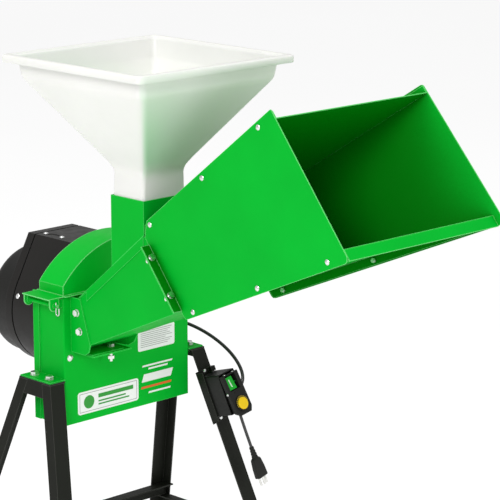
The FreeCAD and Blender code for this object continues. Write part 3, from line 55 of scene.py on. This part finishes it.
class Nodes:
    """Short helper round one material's node tree."""

    def __init__(self, name, color, roughness, metallic=0.0):
        self.material = bpy.data.materials.new(name)
        self.material.use_nodes = True
        self.tree = self.material.node_tree
        self.shader = self.tree.nodes["Principled BSDF"]
        self.shader.inputs["Base Color"].default_value = (*color, 1)
        self.shader.inputs["Roughness"].default_value = roughness
        self.shader.inputs["Metallic"].default_value = metallic
        self.place = self.tree.nodes.new("ShaderNodeTexCoord").outputs["Object"]

    def node(self, kind, **settings):
        made = self.tree.nodes.new(kind)
        for key, value in settings.items():
            setattr(made, key, value)
        return made

    def link(self, out, into):
        self.tree.links.new(out, into)

    def noise(self, scale, detail=3.0, roughness=0.5, stretch=None):
        texture = self.node("ShaderNodeTexNoise")
        texture.inputs["Scale"].default_value = scale
        texture.inputs["Detail"].default_value = detail
        texture.inputs["Roughness"].default_value = roughness
        place = self.place
        if stretch:
            mapping = self.node("ShaderNodeMapping")
            mapping.inputs["Scale"].default_value = stretch
            self.link(place, mapping.inputs["Vector"])
            place = mapping.outputs["Vector"]
        self.link(place, texture.inputs["Vector"])
        return texture.outputs["Fac"]

    def spread(self, value, low, high):
        """Map a 0..1 noise to a narrow band."""
        band = self.node("ShaderNodeMapRange")
        band.inputs["From Min"].default_value = 0.3
        band.inputs["From Max"].default_value = 0.7
        band.inputs["To Min"].default_value = low
        band.inputs["To Max"].default_value = high
        self.link(value, band.inputs["Value"])
        return band.outputs["Result"]

    def vary_color(self, value, first, second):
        ramp = self.node("ShaderNodeValToRGB")
        ramp.color_ramp.elements[0].position = 0.3
        ramp.color_ramp.elements[1].position = 0.7
        ramp.color_ramp.elements[0].color = (*first, 1)
        ramp.color_ramp.elements[1].color = (*second, 1)
        self.link(value, ramp.inputs["Fac"])
        return ramp.outputs["Color"]

    def painted_edge_highlight(self, color, highlight_color, strength, radius):
        """Painted highlight: blend towards a lighter colour along sharp sheet edges, where they would catch
        the light.
        """
        geometry = self.node("ShaderNodeNewGeometry")
        bevel = self.node("ShaderNodeBevel")
        bevel.samples = 6
        bevel.inputs["Radius"].default_value = radius
        turn = self.node("ShaderNodeVectorMath", operation="DOT_PRODUCT")
        self.link(bevel.outputs["Normal"], turn.inputs[0])
        self.link(geometry.outputs["Normal"], turn.inputs[1])
        band = self.node("ShaderNodeMapRange")
        band.inputs["From Min"].default_value = 0.99
        band.inputs["From Max"].default_value = 0.8
        band.inputs["To Max"].default_value = strength
        self.link(turn.outputs["Value"], band.inputs["Value"])
        mix = self.node("ShaderNodeMix", data_type="RGBA")
        self.link(band.outputs["Result"], mix.inputs["Factor"])
        self.link(color, mix.inputs["A"])
        mix.inputs["B"].default_value = (*highlight_color, 1)
        return mix.outputs["Result"]

    def painted_recess_shade(self, color, deep):
        """Painted shade: a deeper colour where the surroundings close in, set by an ambient occlusion mask.
        """
        openness = self.node("ShaderNodeAmbientOcclusion")
        openness.samples = 8
        openness.inputs["Distance"].default_value = 0.45
        mix = self.node("ShaderNodeMix", data_type="RGBA")
        self.link(self.band(openness.outputs["AO"], 0.97, 0.5), mix.inputs["Factor"])
        self.link(color, mix.inputs["A"])
        mix.inputs["B"].default_value = (*deep, 1)
        return mix.outputs["Result"]

    def band(self, value, none_at, full_at):
        """Smooth 0..1 step of a value between two places."""
        step = self.node("ShaderNodeMapRange", interpolation_type="SMOOTHSTEP")
        step.inputs["From Min"].default_value = none_at
        step.inputs["From Max"].default_value = full_at
        self.link(value, step.inputs["Value"])
        return step.outputs["Result"]

    def product(self, first, second):
        times = self.node("ShaderNodeMath", operation="MULTIPLY")
        self.link(first, times.inputs[0])
        self.link(second, times.inputs[1])
        return times.outputs["Value"]

    def color(self, out):
        self.link(out, self.shader.inputs["Base Color"])

    def roughness(self, out):
        self.link(out, self.shader.inputs["Roughness"])

    def bump(self, height, strength, distance):
        made = self.node("ShaderNodeBump")
        made.inputs["Strength"].default_value = strength
        made.inputs["Distance"].default_value = distance
        self.link(height, made.inputs["Height"])
        self.link(made.outputs["Normal"], self.shader.inputs["Normal"])


def shade(color, factor):
    return tuple(min(1.0, c * factor) for c in color)


def painted(name, color, roughness, grain, depth, edge, specular=0.2, edge_width=0.0016, deep=None):
    """Powder coat: faint cloudiness, orange-peel bump, a painted highlight along edges and, where a deep
    colour is given, painted shade in recesses.
    """
    m = Nodes(name, color, roughness)
    cloud = m.noise(7, 4)
    tone = m.vary_color(cloud, shade(color, 0.94), shade(color, 1.05))
    # Painted shade in recesses, in the deep colour, when one is given.
    if deep:
        tone = m.painted_recess_shade(tone, deep)
    # Painted highlight along the sharp edges.
    m.color(m.painted_edge_highlight(tone, edge, 0.75, edge_width))
    m.roughness(m.spread(m.noise(35, 3), roughness - 0.05, roughness + 0.06))
    m.bump(m.noise(grain, 2), 0.2, depth)
    m.shader.inputs["Specular IOR Level"].default_value = specular
    return m.material


def moulded(name, color, roughness, grain, depth, specular=0.35):
    """Moulded plastic: fine even texture and slightly uneven gloss."""
    m = Nodes(name, color, roughness)
    m.shader.inputs["Specular IOR Level"].default_value = specular
    m.color(m.vary_color(m.noise(11, 3), shade(color, 0.95), shade(color, 1.04)))
    m.roughness(m.spread(m.noise(60, 2), roughness - 0.04, roughness + 0.05))
    m.bump(m.noise(grain, 2), 0.2, depth)
    return m.material


def translucent_plastic(name, color, painted_bounce_tint):
    """Milky moulding with painted green bounce light from the chute on its mouth side, by the left front
    corner.
    """
    m = Nodes(name, color, 0.35)
    geometry = m.node("ShaderNodeNewGeometry")
    normal = m.node("ShaderNodeSeparateXYZ")
    m.link(geometry.outputs["Normal"], normal.inputs["Vector"])
    place = m.node("ShaderNodeSeparateXYZ")
    m.link(m.place, place.inputs["Vector"])
    facing = m.band(normal.outputs["Y"], -0.35, -0.75)
    near_corner = m.band(place.outputs["X"], 0.12, -0.3)
    low = m.band(place.outputs["Z"], 1.3, 0.95)
    above_neck = m.band(place.outputs["Z"], 0.96, 1.02)
    # Painted green bounce light: strongest low on the mouth side near the left front corner, fading up and
    # to the right.
    painted_bounce_mask = m.product(m.product(facing, near_corner), m.product(low, above_neck))
    mix = m.node("ShaderNodeMix", data_type="RGBA")
    m.link(painted_bounce_mask, mix.inputs["Factor"])
    m.link(m.vary_color(m.noise(8, 3), shade(color, 0.97), shade(color, 1.02)), mix.inputs["A"])
    mix.inputs["B"].default_value = (*painted_bounce_tint, 1)
    m.color(mix.outputs["Result"])
    m.roughness(m.spread(m.noise(40, 3), 0.3, 0.42))
    m.bump(m.noise(25, 2), 0.1, 0.001)
    m.shader.inputs["Subsurface Weight"].default_value = 0.35
    m.shader.inputs["Subsurface Radius"].default_value = (0.02, 0.022, 0.018)
    m.shader.inputs["Subsurface Scale"].default_value = 0.4
    return m.material


def bare_metal(name, color, roughness, grain, stretch=None):
    """Metal with blotchy plating or drawn grain and small dark stains."""
    m = Nodes(name, color, roughness, metallic=1.0)
    m.color(m.vary_color(m.noise(45, 5, 0.6), shade(color, 0.72), shade(color, 1.08)))
    m.roughness(m.spread(m.noise(grain, 3, 0.6, stretch), roughness - 0.09, roughness + 0.1))
    m.bump(m.noise(grain * 2, 2, 0.5, stretch), 0.15, 0.0002)
    return m.material


def wound(name, color, pitch, roughness, metallic):
    """Fine parallel ridges: stacked laminations or wound wire."""
    m = Nodes(name, color, roughness, metallic)
    wave = m.node("ShaderNodeTexWave", bands_direction="Y")
    wave.inputs["Scale"].default_value = pitch
    wave.inputs["Distortion"].default_value = 0.6
    m.link(m.place, wave.inputs["Vector"])
    m.color(m.vary_color(wave.outputs["Fac"], shade(color, 0.55), color))
    m.bump(wave.outputs["Fac"], 0.5, 0.0008)
    return m.material


PAINT_GRAIN = 900
PAINT_DEPTH = 0.00012
GREEN = (0.0, 0.43, 0.026)
# Colour of the painted highlight along the green sheet edges.
GREEN_EDGE_HIGHLIGHT = (0.12, 0.8, 0.2)
# Colour of the painted shade deep inside the chute.
GREEN_PAINTED_SHADE = (0.0, 0.2, 0.003)
MATERIALS = {
    "green_paint": painted("green_paint", GREEN, 0.45, PAINT_GRAIN, PAINT_DEPTH, GREEN_EDGE_HIGHLIGHT, 0.05, 0.0022),
    "black_paint": painted("black_paint", (0.011, 0.012, 0.009), 0.5, 1400, 0.0003, (0.1, 0.1, 0.09), 0.12),
    "motor_iron": painted("motor_iron", (0.015, 0.014, 0.013), 0.4, 700, 0.0003, (0.06, 0.06, 0.06), 0.15),
    # The funnel's second colour is painted green light bounced off the chute.
    "funnel_plastic": translucent_plastic("funnel_plastic", (0.8, 0.8, 0.765), (0.3, 0.66, 0.36)),
    "black_plastic": moulded("black_plastic", (0.012, 0.012, 0.011), 0.45, 1500, 0.0003, 0.2),
    "label_white": moulded("label_white", (0.84, 0.86, 0.84), 0.35, 500, 0.0001),
    "green_plastic": moulded("green_plastic", (0.0, 0.42, 0.02), 0.25, 900, 0.0001),
    "yellow_plastic": moulded("yellow_plastic", (0.9, 0.58, 0.0), 0.35, 900, 0.0001),
    "cord_rubber": moulded("cord_rubber", (0.011, 0.011, 0.011), 0.27, 1200, 0.0002, 0.7),
    "zinc_steel": bare_metal("zinc_steel", (0.86, 0.87, 0.86), 0.3, 90),
    "rotor_steel": bare_metal("rotor_steel", (0.42, 0.41, 0.4), 0.38, 60, (1, 6, 1)),
    "pin_metal": bare_metal("pin_metal", (0.88, 0.87, 0.84), 0.22, 120),
    "lamination": wound("lamination", (0.3, 0.3, 0.31), 900, 0.45, 0.8),
    "copper": wound("copper", (0.62, 0.25, 0.1), 400, 0.35, 0.7),
}
# Brighter painted edge highlights for the chute and the hood.
CHUTE_EDGE_HIGHLIGHT = (0.3, 0.9, 0.35)
HOOD_EDGE_HIGHLIGHT = (0.4, 0.95, 0.45)
# The hood's green is the mill's green made lighter: painted light for its brighter lit roof, with a
# brighter, wider painted edge highlight.
HOOD_PAINTED_LIGHT_GREEN = shade(GREEN, 1.08)
# The chute's paint takes painted shade in its recesses and a brighter painted edge highlight.
CHUTE_SHADED_PAINT = painted("chute_shaded_paint", GREEN, 0.45, PAINT_GRAIN, PAINT_DEPTH, CHUTE_EDGE_HIGHLIGHT,
                      0.05, 0.0024, GREEN_PAINTED_SHADE)
HOOD_LIT_PAINT = painted("hood_lit_paint", HOOD_PAINTED_LIGHT_GREEN, 0.4, PAINT_GRAIN, PAINT_DEPTH, HOOD_EDGE_HIGHLIGHT, 0.08, 0.0035)
SPECIAL_PAINT = {
    "chute_left_side": CHUTE_SHADED_PAINT,
    "chute_right_side": CHUTE_SHADED_PAINT,
    "chute_roof": CHUTE_SHADED_PAINT,
    "chute_floor": CHUTE_SHADED_PAINT,
    "hood": HOOD_LIT_PAINT,
}
GREY_INK = moulded("grey_ink", (0.33, 0.34, 0.33), 0.45, 500, 0.0001)
GREEN_INK = moulded("green_ink", (0.02, 0.3, 0.03), 0.45, 500, 0.0001)
YELLOW_INK = moulded("yellow_ink", (0.6, 0.42, 0.03), 0.45, 500, 0.0001)
WHITE_INK = moulded("white_ink", (0.85, 0.95, 0.85), 0.45, 500, 0.0001)
ORANGE_INK = moulded("orange_ink", (0.75, 0.13, 0.02), 0.45, 500, 0.0001)


def dress_cad_nodes():
    """Give every CAD node the material of its slot."""
    for entry in frame["record"]["subparts"]:
        piece = frame["nodes"][entry["node"]]
        piece.data.materials.clear()
        piece.data.materials.append(SPECIAL_PAINT.get(entry["node"], MATERIALS[entry["material_slot"]]))
    paint_hinge_pin()


HINGE_PIN_AXIS = at(-211, 0, 73)
PIN_SKIN = 0.0075
CLIP_END = at(0, -6, 0).y


def paint_hinge_pin():
    """The pin is painted with the mill; the spring clip through its end is bare."""
    pin = frame["nodes"]["hinge_pin"]
    pin.data.materials.append(MATERIALS["green_paint"])
    for face in pin.data.polygons:
        off_axis = math.hypot(face.center.x - HINGE_PIN_AXIS.x, face.center.z - HINGE_PIN_AXIS.z)
        if off_axis < PIN_SKIN and face.center.y > CLIP_END:
            face.material_index = 1


# ---------------------------------------------------------------- mesh helpers

def mesh_piece(name, bm, material, body, smooth=True):
    """Turn a bmesh into a piece that rides a body and takes a material slot."""
    bmesh.ops.recalc_face_normals(bm, faces=bm.faces)
    mesh = bpy.data.meshes.new(name)
    bm.to_mesh(mesh)
    bm.free()
    piece = bpy.data.objects.new(name, mesh)
    bpy.context.collection.objects.link(piece)
    mesh.materials.append(MATERIALS[material] if isinstance(material, str) else material)
    if smooth:
        mesh.shade_smooth()
    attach(piece, body)
    return piece


# ---------------------------------------------------------------- grain funnel

FUNNEL_PLACE = (-100, -187)
# half width, half depth, corner radius, height: up the outside, over the rim, down inside
FUNNEL_SECTION = (
    (59.3, 48.2, 6, 288.2), (59.3, 48.2, 7, 296), (59.3, 48.2, 8, 340), (59.3, 48.2, 9, 370),
    (59.4, 48.3, 10, 376),
    (60.6, 49.9, 11, 384), (63.6, 53.2, 12, 391.5), (68.2, 58, 13, 399), (76.1, 66.6, 14, 411),
    (131, 126, 16, 490), (174, 172.8, 18, 552), (183.5, 183, 18, 565.5), (188.2, 188.2, 18, 573),
    (190.8, 190.8, 18, 580),
    (191.6, 191.6, 17, 587), (194.6, 194.6, 16, 609), (195.6, 195.6, 16, 617), (197.5, 197.5, 16, 619.6),
    (203, 203, 14, 620), (213.6, 213.6, 14, 620), (214.8, 214.8, 14, 618.5), (215, 215, 14, 609),
    (215.3, 215.3, 14, 608.2), (217, 217, 15, 608.1), (217.8, 217.8, 15, 609), (217.9, 217.9, 15, 619),
    (217, 217, 15, 622), (214.5, 214.5, 15, 623.7), (212, 212, 15, 623.9), (204.5, 204.5, 15, 623.9),
    (203, 203, 15, 623), (202.3, 202.3, 15, 621.6), (197.5, 197.5, 15, 621.3), (195.6, 195.6, 14, 620.2),
    (194.4, 194.4, 14, 616), (189.4, 189.4, 14, 582), (187, 187, 14, 576), (171, 170, 14, 553),
    (128, 123, 12, 490), (73, 63.5, 10, 411), (61, 50, 8, 393), (57, 45.8, 6, 384), (56.4, 45.4, 5, 372),
    (56.4, 45.4, 5, 340), (56.4, 45.4, 5, 288.2),
)
CORNER_STEPS = 7


def rounded_loop(half_x, half_y, radius, z):
    """Points of a rectangle with rounded corners, about the funnel's own upright axis."""
    points = []
    for quarter, (side_x, side_y) in enumerate(((1, 1), (-1, 1), (-1, -1), (1, -1))):
        for step in range(CORNER_STEPS + 1):
            turn = math.radians(90 * (quarter + step / CORNER_STEPS))
            x = side_x * (half_x - radius) + radius * math.cos(turn)
            y = side_y * (half_y - radius) + radius * math.sin(turn)
            points.append(at(FUNNEL_PLACE[0] + x, FUNNEL_PLACE[1] + y, z))
    return points


def build_funnel():
    bm = bmesh.new()
    loops = []
    for section in FUNNEL_SECTION:
        loops.append([bm.verts.new(point) for point in rounded_loop(*section)])
    for low, high in zip(loops, loops[1:] + loops[:1]):
        for k in range(len(low)):
            after = (k + 1) % len(low)
            bm.faces.new((low[k], low[after], high[after], high[k]))
    funnel = mesh_piece("grain_funnel_moulding", bm, "funnel_plastic", "funnel")
    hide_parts("grain_funnel")


# ---------------------------------------------------------------- printed marks

MARK_THICK = 0.25


def panel_mark(name, outline, material, lift=0.9):
    """Thin flat mark on the front panel; the outline is in X and Z."""
    bm = bmesh.new()
    front = [bm.verts.new(at(x, -lift, z)) for x, z in outline]
    back = [bm.verts.new(at(x, -lift + MARK_THICK, z)) for x, z in outline]
    bm.faces.new(front)
    bm.faces.new(reversed(back))
    for k in range(len(front)):
        after = (k + 1) % len(front)
        bm.faces.new((front[k], back[k], back[after], front[after]))
    return mesh_piece(name, bm, material, "mill", smooth=False)


def bar(x0, x1, z0, z1, slant=0.0):
    """Outline of a bar whose top is shifted to the right by slant."""
    return [(x0, z0), (x1, z0), (x1 + slant, z1), (x0 + slant, z1)]


RULES = 9
RULE_PITCH = 4.4
RULE_HALF = 0.6
BORDER_LEFT = -141
BORDER_RIGHT = 24
BORDER_LOW = -182.8
BORDER_TOP = -140.2
BORDER_WIDTH = 1.2
EMBLEM_PLACE = (-115, -161.5)
EMBLEM_R = 15
EMBLEM_SIDES = 24
PAINT_LIFT = 0.4
LABEL_BARS = ((-88, 14, -153, 4.5), (-88, -8, -165, 1.6), (-88, 2, -172, 1.6))  # x0, x1, middle, half
PANEL_BARS = ((42, 132, -113, 2), (60, 118, -121, 2), (40, 128, -141, 9), (60, 126, -176, 2))


def build_label_rules():
    """Grey rules in place of the small label's print, with uneven right ends."""
    for k in range(RULES):
        z = -33 - RULE_PITCH * k
        right = 132 - 13 * (k % 3 == 2) - 6 * (k % 2)
        panel_mark(f"label_rule_{k}", bar(38, right, z - RULE_HALF, z + RULE_HALF), GREY_INK)


def build_marks():
    build_label_rules()
    w = BORDER_WIDTH
    border = [bar(BORDER_LEFT, BORDER_RIGHT, BORDER_TOP - w, BORDER_TOP)]
    border.append(bar(BORDER_LEFT, BORDER_RIGHT, BORDER_LOW, BORDER_LOW + w))
    border.append(bar(BORDER_LEFT - w, BORDER_LEFT, BORDER_LOW, BORDER_TOP))
    border.append(bar(BORDER_RIGHT, BORDER_RIGHT + w, BORDER_LOW, BORDER_TOP))
    for k, outline in enumerate(border):
        panel_mark(f"label_border_{k}", outline, GREY_INK)
    emblem = []
    for k in range(EMBLEM_SIDES):
        turn = 2 * math.pi * k / EMBLEM_SIDES
        x = EMBLEM_PLACE[0] + EMBLEM_R * math.cos(turn)
        emblem.append((x, EMBLEM_PLACE[1] + EMBLEM_R * math.sin(turn)))
    panel_mark("label_emblem", emblem, GREEN_INK)
    for k, (x0, x1, z, half) in enumerate(LABEL_BARS):
        panel_mark(f"label_bar_{k}", bar(x0, x1, z - half, z + half), GREEN_INK)
    for k, (x0, x1, z, half) in enumerate(PANEL_BARS):
        outline = bar(x0, x1, z - half, z + half, 0.8 * half)
        panel_mark(f"panel_bar_{k}", outline, "label_white", PAINT_LIFT)
    panel_mark("panel_accent", bar(38, 128, -165, -160, 2), ORANGE_INK, PAINT_LIFT)


# ---------------------------------------------------------------- cords

LEG_DOWN = Vector((0.18, -0.30, -1.0)).normalized()
LEG_IN = Vector((1, 0, 0)).cross(LEG_DOWN).normalized()
LEG_ACROSS = LEG_IN.cross(-LEG_DOWN).normalized()
SWITCH_CENTRE = at(208.5, -5, -103) + LEG_DOWN * 0.107
FRONT_LEAN = math.radians(6.8)
FRONT_TOP_Y = -76
FRONT_TOP_Z = 41
POWER_DIAMETER = 0.007
LEAD_DIAMETER = 0.008


def leg_point(x, y, z):
    """Millimetres about the switch, in the leg's own directions, to the model frame."""
    return SWITCH_CENTRE + (LEG_ACROSS * x + LEG_IN * y - LEG_DOWN * z) / 1000


def front_point(x, y, z):
    """Millimetres about the top of the switch's leaning front plate."""
    local_y = FRONT_TOP_Y + y * math.cos(FRONT_LEAN) + z * math.sin(FRONT_LEAN)
    local_z = FRONT_TOP_Z - y * math.sin(FRONT_LEAN) + z * math.cos(FRONT_LEAN)
    return leg_point(x, local_y, local_z)


def cord_curve(name, points, diameter):
    """Smooth round cord whose control points are the route."""
    curve = bpy.data.curves.new(name, "CURVE")
    curve.dimensions = "3D"
    curve.bevel_depth = diameter / 2
    curve.bevel_resolution = 6
    curve.use_fill_caps = True
    spline = curve.splines.new("NURBS")
    spline.points.add(len(points) - 1)
    for control, point in zip(spline.points, points):
        control.co = (*point, 1)
    spline.order_u = 3
    spline.use_endpoint_u = True
    curve.resolution_u = 16
    curve.materials.append(MATERIALS["cord_rubber"])
    piece = bpy.data.objects.new(name, curve)
    bpy.context.collection.objects.link(piece)
    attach(piece, "mill")
    return piece


def build_cords():
    start = front_point(-6, 15, -88)
    power = [start]
    for x, y, z in ((4.2, -8.6, -28), (10, -16, -56.5), (17, -22.3, -84.1)):
        power.append(start + Vector((x, y, z)) / 1000)
    power_cord = cord_curve("power_lead", power, POWER_DIAMETER)
    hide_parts("power_cord")
    plug = build_plug(power[-1], (power[-1] - power[-2]).normalized())
    route = [at(140.6, 150, -50), at(164, 150, -50), at(195, 141, -51), at(229, 122, -56), at(261, 94, -68)]
    route += [at(286, 60, -86), at(303, 23, -109), at(312, -12, -135), at(311, -41, -162)]
    route += [at(300, -59, -183), at(281, -67, -195), leg_point(31, -34, -6)]
    motor_lead = cord_curve("motor_cable", route, LEAD_DIAMETER)
    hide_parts("motor_lead")


# ---------------------------------------------------------------- plug and switch details

# distance along the plug, half width, half depth, squareness
PLUG_SECTION = (
    (0, 5.2, 5.2, 2), (5, 5.7, 5.7, 2), (5.5, 4.7, 4.7, 2), (7.5, 4.8, 4.8, 2), (8, 6, 6, 2),
    (12, 6.3, 6.3, 2), (12.5, 5.3, 5.3, 2), (14.5, 5.4, 5.4, 2), (15, 6.6, 6.6, 2),
    (19, 6.9, 6.9, 2), (19.5, 5.9, 5.9, 2), (21.5, 6, 6, 2), (22, 7.1, 7.1, 2),
    (27.5, 7.5, 7.5, 2.3), (28.2, 9.5, 7.6, 3), (30, 11.2, 7.9, 4), (34, 11.8, 8, 5),
    (36, 12.3, 8, 5), (46, 13.8, 8, 5), (50, 14.4, 8, 6), (71, 15.4, 8, 7),
    (73.4, 15.2, 7.7, 7), (74, 14.4, 6.9, 7),
)
PLUG_STEPS = 32


def build_plug(start, tip):
    """Moulded plug body with a grooved, tapered strain relief, in line with the cord's end."""
    side = (LEG_ACROSS - tip * LEG_ACROSS.dot(tip)).normalized()
    depth = tip.cross(side)
    bm = bmesh.new()
    loops = []
    for distance, wide, deep, square in PLUG_SECTION:
        loop = []
        for k in range(PLUG_STEPS):
            turn = 2 * math.pi * k / PLUG_STEPS
            c = math.cos(turn)
            s = math.sin(turn)
            a = math.copysign(abs(c) ** (2 / square), c) * wide
            b = math.copysign(abs(s) ** (2 / square), s) * deep
            loop.append(bm.verts.new(start + (tip * distance + side * a + depth * b) / 1000))
        loops.append(loop)
    for low, high in zip(loops, loops[1:]):
        for k in range(PLUG_STEPS):
            after = (k + 1) % PLUG_STEPS
            bm.faces.new((low[k], low[after], high[after], high[k]))
    bm.faces.new(loops[0])
    bm.faces.new(loops[-1])
    plug = mesh_piece("plug_moulding", bm, "black_plastic", "mill")
    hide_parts("plug_body")
    return plug


def front_block(name, corners, y0, y1, material, body):
    """Thin raised mark drawn on the switch's leaning front; corners are in its X and Z."""
    bm = bmesh.new()
    front = [bm.verts.new(front_point(x, y0, z)) for x, z in corners]
    back = [bm.verts.new(front_point(x, y1, z)) for x, z in corners]
    bm.faces.new(front)
    bm.faces.new(back)
    for k in range(len(front)):
        after = (k + 1) % len(front)
        bm.faces.new((front[k], back[k], back[after], front[after]))
    return mesh_piece(name, bm, material, body, smooth=False)


# height on the leaning front, depth of the rocker's face
ROCKER_FACE = ((-31, 3.58), (-22, 5.2), (-13, 5.98))
# place across the rocker, rise from its face
ROCKER_MARK = ((-7, 0.2), (-7, -0.25), (-4.2, -0.25), (-4.2, 0.2))


def build_rocker_mark():
    """White bar that follows the rocker's two shallow slopes."""
    bm = bmesh.new()
    rows = []
    for z, y in ROCKER_FACE:
        rows.append([bm.verts.new(front_point(x, y + rise, z)) for x, rise in ROCKER_MARK])
    for low, high in zip(rows, rows[1:]):
        for k in range(len(low)):
            after = (k + 1) % len(low)
            bm.faces.new((low[k], low[after], high[after], high[k]))
    bm.faces.new(rows[0])
    bm.faces.new(rows[-1])
    mesh_piece("rocker_mark", bm, WHITE_INK, "rocker", smooth=False)


BUTTON_PLACE = (-1, -74)
TICKS = 13
TICK_INNER = 15.4
TICK_OUTER = 17.6
TICK_HALF = 0.9


def build_switch_marks():
    """The rocker's bar, and yellow ticks on the collar over the button."""
    build_rocker_mark()
    for k in range(TICKS):
        turn = math.radians(10 + 15 * k)
        corners = []
        for reach, side in ((TICK_INNER, -1), (TICK_OUTER, -1), (TICK_OUTER, 1), (TICK_INNER, 1)):
            x = BUTTON_PLACE[0] + reach * math.cos(turn) + side * TICK_HALF * math.sin(turn)
            z = BUTTON_PLACE[1] + reach * math.sin(turn) - side * TICK_HALF * math.cos(turn)
            corners.append((x, z))
        front_block(f"button_tick_{k}", corners, -2.75, -2.45, YELLOW_INK, "mill")


# ---------------------------------------------------------------- stage

FLOOR_SIZE = 80
FLOOR_GLOW = 0.66
SKY = 0.6
AIM = Vector((0, 0, 0.75))


def build_stage():
    """White floor that gives off some light of its own, a white sky and three area lights."""
    bpy.ops.mesh.primitive_plane_add(size=FLOOR_SIZE, location=(0, 0, 0))
    floor = bpy.context.object
    floor.name = "floor"
    m = Nodes("floor_white", (0.45, 0.45, 0.45), 0.9)
    m.color(m.vary_color(m.noise(0.5, 2), (0.445, 0.445, 0.445), (0.455, 0.455, 0.455)))
    m.shader.inputs["Emission Color"].default_value = (1, 1, 1, 1)
    m.shader.inputs["Emission Strength"].default_value = FLOOR_GLOW
    m.shader.inputs["Specular IOR Level"].default_value = 0
    floor.data.materials.append(m.material)
    world = bpy.data.worlds.new("studio")
    bpy.context.scene.world = world
    world.use_nodes = True
    background = world.node_tree.nodes["Background"]
    background.inputs["Color"].default_value = (1, 1, 1, 1)
    background.inputs["Strength"].default_value = SKY
    add_area("key", (-4.2, -2.2, 3.6), 1.6, 125)
    add_area("front", (0.8, -5.0, 1.6), 1.6, 40)
    add_area("top", (-0.5, 1.0, 5.0), 2.0, 60)


def add_area(name, place, size, power):
    light = bpy.data.lights.new(name, "AREA")
    light.size = size
    light.energy = power
    lamp = bpy.data.objects.new(name, light)
    lamp.location = place
    lamp.rotation_euler = (AIM - Vector(place)).to_track_quat("-Z", "Y").to_euler()
    bpy.context.collection.objects.link(lamp)


def build_camera():
    data = bpy.data.cameras.new("camera")
    data.lens = 172.8
    data.sensor_width = 36
    data.clip_end = 200
    camera = bpy.data.objects.new("camera", data)
    camera.location = (-3.397, -3.617, 1.946)
    camera.rotation_euler = (math.radians(77.0), 0, math.radians(-44.4))
    bpy.context.collection.objects.link(camera)
    bpy.context.scene.camera = camera
    bpy.context.scene.view_settings.view_transform = "Standard"


build_camera()
dress_cad_nodes()
build_cords()
build_funnel()
build_marks()
build_switch_marks()
build_stage()
